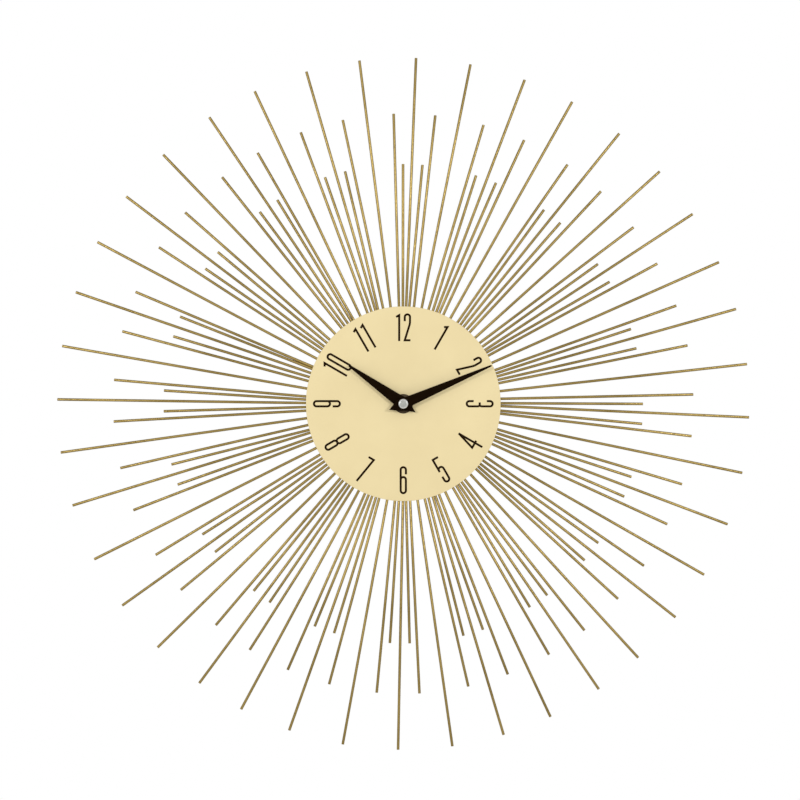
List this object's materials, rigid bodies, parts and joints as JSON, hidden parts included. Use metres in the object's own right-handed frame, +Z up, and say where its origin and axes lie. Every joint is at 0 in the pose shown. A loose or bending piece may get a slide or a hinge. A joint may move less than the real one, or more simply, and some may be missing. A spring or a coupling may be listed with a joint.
{
  "type": "sunburst wall clock",
  "caption": "Wall clock with a round numbered dial in front of a burst of thin rods in fans of three lengths, driven by a quartz movement that hangs from a bent strap.",
  "frame": {"origin": "on the hands' axis, at the movement's back face, where the clock rests on the wall", "axes": "+Y into the wall, so the clock faces -Y; +Z up; +X to the right as a viewer sees the dial"},
  "size_m": [0.6098, 0.032, 0.6098],
  "materials": {
    "rods": "antique gold lacquer over steel wire, satin",
    "dial": "pale champagne gold, fine satin",
    "hub": "antique gold lacquer over pressed sheet steel, as on the rods",
    "rubber": "matt black",
    "dark_metal": "dark bronze plated",
    "brass": "turned, plain",
    "hands": "satin black paint",
    "cap": "satin silver",
    "case": "moulded, fine texture",
    "wheel": "natural acetal",
    "knob": "moulded, ribbed",
    "spring_steel": "nickel plated",
    "magnet_steel": "bare",
    "copper": "enamelled copper wire",
    "board": "green solder resist",
    "chip": "black resin",
    "cell": "printed sleeve without lettering"
  },
  "bodies": {
    "movement": {"ray_fan_01": "rods", "ray_fan_02": "rods", "ray_fan_03": "rods", "ray_fan_04": "rods", "ray_fan_05": "rods", "ray_fan_06": "rods", "ray_fan_07": "rods", "ray_fan_08": "rods", "ray_fan_09": "rods", "ray_fan_10": "rods", "ray_fan_11": "rods", "ray_fan_12": "rods", "ray_fan_13": "rods", "ray_fan_14": "rods", "ray_fan_15": "rods", "ray_fan_16": "rods", "ray_fan_17": "rods", "ray_fan_18": "rods", "ray_fan_19": "rods", "ray_fan_20": "rods", "dial": "dial", "hub_plate": "hub", "rubber_washer": "rubber", "dial_washer": "dark_metal", "hex_nut": "dark_metal", "threaded_bush": "brass", "movement_case": "case", "movement_back": "case", "train_plate": "case", "stator": "magnet_steel", "coil_core": "magnet_steel", "coil_bobbin": "wheel", "coil_winding": "copper", "circuit_board": "board", "driver_chip": "chip", "quartz_crystal": "spring_steel", "battery": "cell", "contact_negative": "spring_steel", "contact_positive": "spring_steel", "hanger": "spring_steel"},
    "minute": {"minute_arbor": "spring_steel", "minute_hand": "hands", "centre_cap": "cap"},
    "hour": {"hour_wheel": "wheel", "hour_hand": "hands"},
    "motion": {"motion_wheel": "wheel"},
    "setting": {"setting_knob": "knob"},
    "rotor_body": {"rotor": "magnet_steel"},
    "intermediate": {"intermediate_wheel": "wheel"},
    "fourth": {"fourth_wheel": "wheel"},
    "third": {"third_wheel": "wheel"},
    "centre": {"centre_wheel": "wheel"}
  },
  "joints": [
    {"name": "minute_turn", "type": "hinge", "parent": "movement", "child": "minute", "pos_m": [0, 0, 0], "axis": [0, 1, 0], "continuous": true},
    {"name": "hour_turn", "type": "hinge", "parent": "movement", "child": "hour", "pos_m": [0, 0, 0], "axis": [0, 1, 0], "continuous": true},
    {"name": "motion_turn", "type": "hinge", "parent": "movement", "child": "motion", "pos_m": [0.009, 0, 0], "axis": [0, 1, 0], "continuous": true},
    {"name": "knob_turn", "type": "hinge", "parent": "movement", "child": "setting", "pos_m": [0.01818, 0, -0.00428], "axis": [0, 1, 0], "continuous": true},
    {"name": "rotor_turn", "type": "hinge", "parent": "movement", "child": "rotor_body", "pos_m": [0.00699, 0, 0.01235], "axis": [0, 1, 0], "continuous": true},
    {"name": "intermediate_turn", "type": "hinge", "parent": "movement", "child": "intermediate", "pos_m": [0.00022, 0, 0.01294], "axis": [0, 1, 0], "continuous": true},
    {"name": "fourth_turn", "type": "hinge", "parent": "movement", "child": "fourth", "pos_m": [-0.00683, 0, 0.01037], "axis": [0, 1, 0], "continuous": true},
    {"name": "third_turn", "type": "hinge", "parent": "movement", "child": "third", "pos_m": [-0.00624, 0, 0.0036], "axis": [0, 1, 0], "continuous": true},
    {"name": "centre_turn", "type": "hinge", "parent": "movement", "child": "centre", "pos_m": [0, 0, 0], "axis": [0, 1, 0], "continuous": true}
  ],
  "couplings": [
    {"joint": "motion_turn", "follows": "minute_turn", "ratio": -0.33333},
    {"joint": "hour_turn", "follows": "minute_turn", "ratio": 0.083333},
    {"joint": "knob_turn", "follows": "minute_turn", "ratio": 0.66667},
    {"joint": "intermediate_turn", "follows": "rotor_turn", "ratio": -0.13333},
    {"joint": "fourth_turn", "follows": "rotor_turn", "ratio": 0.033333},
    {"joint": "third_turn", "follows": "rotor_turn", "ratio": -0.0044444},
    {"joint": "centre_turn", "follows": "rotor_turn", "ratio": 0.00055556}
  ]
}
